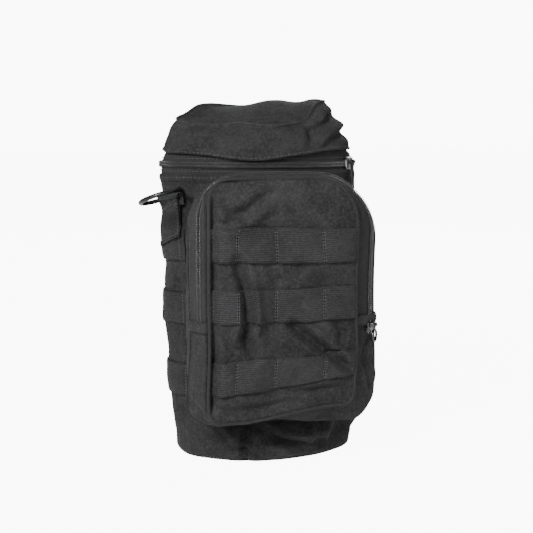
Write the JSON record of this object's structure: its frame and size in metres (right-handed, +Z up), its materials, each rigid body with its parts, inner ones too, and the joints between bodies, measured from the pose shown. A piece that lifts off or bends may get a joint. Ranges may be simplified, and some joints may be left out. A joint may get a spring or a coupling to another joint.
{
  "type": "molle bottle pouch",
  "caption": "Black soft oval bottle pouch with a zip-round domed lid, a zipped front pocket, rows of woven attachment tape, a ring on a side tab and snap straps at the back.",
  "frame": {"origin": "centre of the base's underside, on the surface the pouch stands on", "axes": "+Z up through the lid, -Y out of the front pocket, +X to the right as seen from the front"},
  "size_m": [0.1716, 0.139, 0.2649],
  "materials": {
    "pouch_cloth": "plain-weave coated polyester, matt",
    "webbing": "ribbed woven tape",
    "binding": "woven edge binding",
    "zip_tape": "herringbone zip tape",
    "zip_coil": "moulded nylon coil",
    "slider_metal": "black enamel over bright metal, worn at the edges",
    "pull_black": "black enamel",
    "pull_gunmetal": "dark polished metal",
    "ring_wire": "glossy black enamel",
    "black_metal": "satin black enamel"
  },
  "bodies": {
    "pouch": {"body_shell": "pouch_cloth", "base_panel": "pouch_cloth", "drain_eyelet": "black_metal", "zip_lower_tape": "zip_tape", "zip_lower_coil": "zip_coil", "hinge_strip_lower": "pouch_cloth", "pocket_rear_gusset": "pouch_cloth", "pocket_lower_gusset": "pouch_cloth", "pocket_rear_tape": "zip_tape", "pocket_rear_coil": "zip_coil", "pocket_panel_lower": "pouch_cloth", "pocket_piping_lower": "binding", "front_webbing_bottom": "webbing", "left_webbing_top": "webbing", "left_webbing_middle": "webbing", "left_webbing_bottom": "webbing", "right_webbing_top": "webbing", "right_webbing_middle": "webbing", "right_webbing_bottom": "webbing", "back_webbing_top": "webbing", "back_webbing_middle": "webbing", "back_webbing_bottom": "webbing", "ring_tab": "webbing", "ring_tab_fold": "webbing", "strap_anchor_left": "webbing", "strap_anchor_right": "webbing", "snap_stud_left": "black_metal", "snap_stud_right": "black_metal"},
    "lid": {"zip_upper_tape": "zip_tape", "zip_upper_coil": "zip_coil", "hinge_strip_upper": "pouch_cloth", "lid_wall": "pouch_cloth", "lid_top": "pouch_cloth"},
    "pocket_flap": {"pocket_front_tape": "zip_tape", "pocket_front_coil": "zip_coil", "pocket_panel_upper": "pouch_cloth", "pocket_piping_upper": "binding", "front_webbing_top": "webbing", "front_webbing_middle": "webbing"},
    "main_slider": {"main_zip_slider": "slider_metal"},
    "main_pull": {"main_zip_pull": "pull_black"},
    "pocket_slider": {"pocket_zip_slider": "slider_metal"},
    "pocket_pull": {"pocket_zip_pull": "pull_gunmetal"},
    "ring": {"carry_ring": "ring_wire"},
    "strap_left": {"back_strap_left": "webbing", "snap_cap_left": "black_metal"},
    "strap_right": {"back_strap_right": "webbing", "snap_cap_right": "black_metal"}
  },
  "joints": [
    {"name": "lid_hinge", "type": "hinge", "parent": "pouch", "child": "lid", "pos_m": [0, 0.0473, 0.222], "axis": [-1, 0, 0], "range_deg": [0, 115]},
    {"name": "main_slider_travel", "type": "hinge", "parent": "pouch", "child": "main_slider", "pos_m": [0, 0.05003, 0.222], "axis": [0, 0, -1], "range_deg": [0, 78]},
    {"name": "main_pull_swing", "type": "hinge", "parent": "main_slider", "child": "main_pull", "pos_m": [0.06713, -0.02453, 0.2232], "axis": [-0.7431, -0.6691, 0], "range_deg": [0, 120]},
    {"name": "pocket_flap_hinge", "type": "hinge", "parent": "pouch", "child": "pocket_flap", "pos_m": [0, -0.0868, 0.112], "axis": [1, 0, 0], "range_deg": [0, 100]},
    {"name": "pocket_slider_travel", "type": "slide", "parent": "pouch", "child": "pocket_slider", "axis": [0, 0, 1], "range_m": [0, 0.075]},
    {"name": "pocket_pull_swing", "type": "hinge", "parent": "pocket_slider", "child": "pocket_pull", "pos_m": [0.0674, -0.0784, 0.1078], "axis": [-0.6293, -0.7771, 0], "range_deg": [0, 110]},
    {"name": "ring_swing", "type": "hinge", "parent": "pouch", "child": "ring", "pos_m": [-0.06927, -0.02254, 0.1995], "axis": [0.676, -0.6528, 0.342], "range_deg": [-75, 12]},
    {"name": "strap_left_fold", "type": "hinge", "parent": "pouch", "child": "strap_left", "pos_m": [-0.02404, 0.0472, 0.20025], "axis": [0.9703, 0.2419, 0], "range_deg": [0, 85]},
    {"name": "strap_right_fold", "type": "hinge", "parent": "pouch", "child": "strap_right", "pos_m": [0.02404, 0.0472, 0.20025], "axis": [0.9703, -0.2419, 0], "range_deg": [0, 85]}
  ]
}
